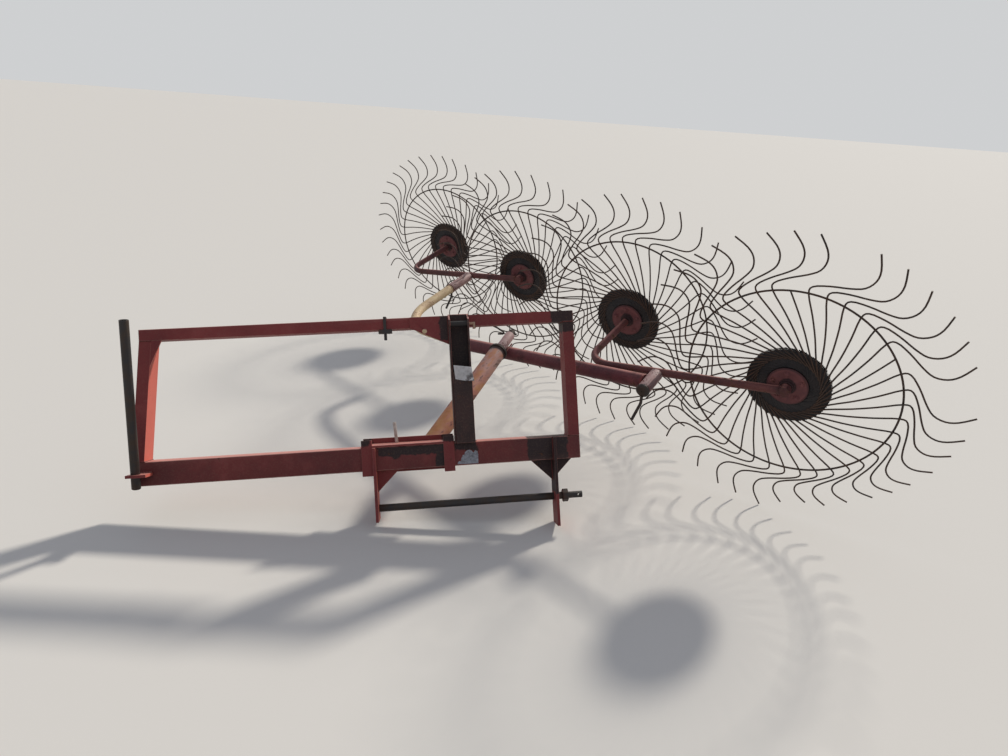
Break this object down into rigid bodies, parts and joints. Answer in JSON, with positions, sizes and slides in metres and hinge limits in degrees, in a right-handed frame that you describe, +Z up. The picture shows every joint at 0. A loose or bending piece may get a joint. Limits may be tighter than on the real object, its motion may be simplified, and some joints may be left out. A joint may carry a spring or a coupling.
{
  "type": "wheel rake",
  "caption": "Wheel rake for a three-point hitch: a leaning headstock frame and a slanting gang of tined wheels on a bent boom and rocking cranks.",
  "frame": {"origin": "middle of the footprint, on the ground", "axes": "+X along the headstock to the right as seen from the tractor, +Y rearward, +Z up"},
  "size_m": [3.2994, 3.8402, 1.3645],
  "materials": {
    "frame_red": "faded, chipped and rusty",
    "mast_dark": "dark and greasy",
    "crank_red": "worn red",
    "hub_red": "dull red",
    "worn_tube": "worn to sunburnt tan",
    "spring_wire": "rusty wire",
    "bare_steel": "dull and stained",
    "dark_steel": "dark",
    "white_plate": "matt white"
  },
  "bodies": {
    "headstock": {"lower_beam": "frame_red", "left_upper_beam": "frame_red", "right_upper_beam": "frame_red", "left_upright": "frame_red", "right_upright": "frame_red", "corner_gusset": "frame_red", "mast": "mast_dark", "mast_cover": "mast_dark", "mast_gusset": "frame_red", "top_link_pin": "bare_steel", "blank_tag": "white_plate", "left_hitch_plate": "frame_red", "right_hitch_plate": "frame_red", "left_plate_gusset": "frame_red", "right_inner_gusset": "frame_red", "right_outer_gusset": "frame_red", "hitch_bar": "bare_steel", "hitch_nut": "bare_steel", "saddle_bracket": "frame_red", "saddle_peg": "bare_steel", "upper_beam_clip": "dark_steel", "pole_lug": "frame_red", "stand_pole": "dark_steel", "main_tube": "worn_tube", "tube_spindle": "bare_steel", "lynch_pin": "bare_steel"},
    "boom": {"boom": "frame_red", "boom_pivot_sleeve": "frame_red", "front_crank_sleeve": "frame_red", "rear_crank_sleeve": "frame_red", "rear_crank_lock": "dark_steel"},
    "front_crank": {"front_crank": "crank_red", "front_crank_lock": "dark_steel"},
    "rear_crank": {"rear_crank": "crank_red"},
    "wheel_1": {"wheel_1_tines": "spring_wire", "wheel_1_rim": "spring_wire", "wheel_1_hub": "hub_red"},
    "wheel_2": {"wheel_2_tines": "spring_wire", "wheel_2_rim": "spring_wire", "wheel_2_hub": "hub_red"},
    "wheel_3": {"wheel_3_tines": "spring_wire", "wheel_3_rim": "spring_wire", "wheel_3_hub": "hub_red"},
    "wheel_4": {"wheel_4_tines": "spring_wire", "wheel_4_rim": "spring_wire", "wheel_4_hub": "hub_red"}
  },
  "joints": [
    {"name": "boom_float", "type": "hinge", "parent": "headstock", "child": "boom", "pos_m": [-0.02734, -0.55789, 0.55098], "axis": [0.4729, 0.8202, 0.3218], "range_deg": [-8, 8]},
    {"name": "front_crank_rock", "type": "hinge", "parent": "boom", "child": "front_crank", "pos_m": [0.63864, -1.09396, 0.60297], "axis": [0.6209, 0.7399, 0.2588], "range_deg": [-10, 10]},
    {"name": "rear_crank_rock", "type": "hinge", "parent": "boom", "child": "rear_crank", "pos_m": [-0.1214, 0.71515, 0.62329], "axis": [0.6209, 0.7399, 0.2588], "range_deg": [-10, 10]},
    {"name": "wheel_1_spin", "type": "hinge", "parent": "front_crank", "child": "wheel_1", "pos_m": [1.09882, -1.43815, 0.68395], "axis": [0.6209, 0.7399, 0.2588], "continuous": true},
    {"name": "wheel_2_spin", "type": "hinge", "parent": "front_crank", "child": "wheel_2", "pos_m": [0.65439, -0.476, 0.68395], "axis": [0.6209, 0.7399, 0.2588], "continuous": true},
    {"name": "wheel_3_spin", "type": "hinge", "parent": "rear_crank", "child": "wheel_3", "pos_m": [0.20997, 0.48616, 0.68395], "axis": [0.6209, 0.7399, 0.2588], "continuous": true},
    {"name": "wheel_4_spin", "type": "hinge", "parent": "rear_crank", "child": "wheel_4", "pos_m": [-0.23446, 1.44831, 0.68395], "axis": [0.6209, 0.7399, 0.2588], "continuous": true}
  ]
}
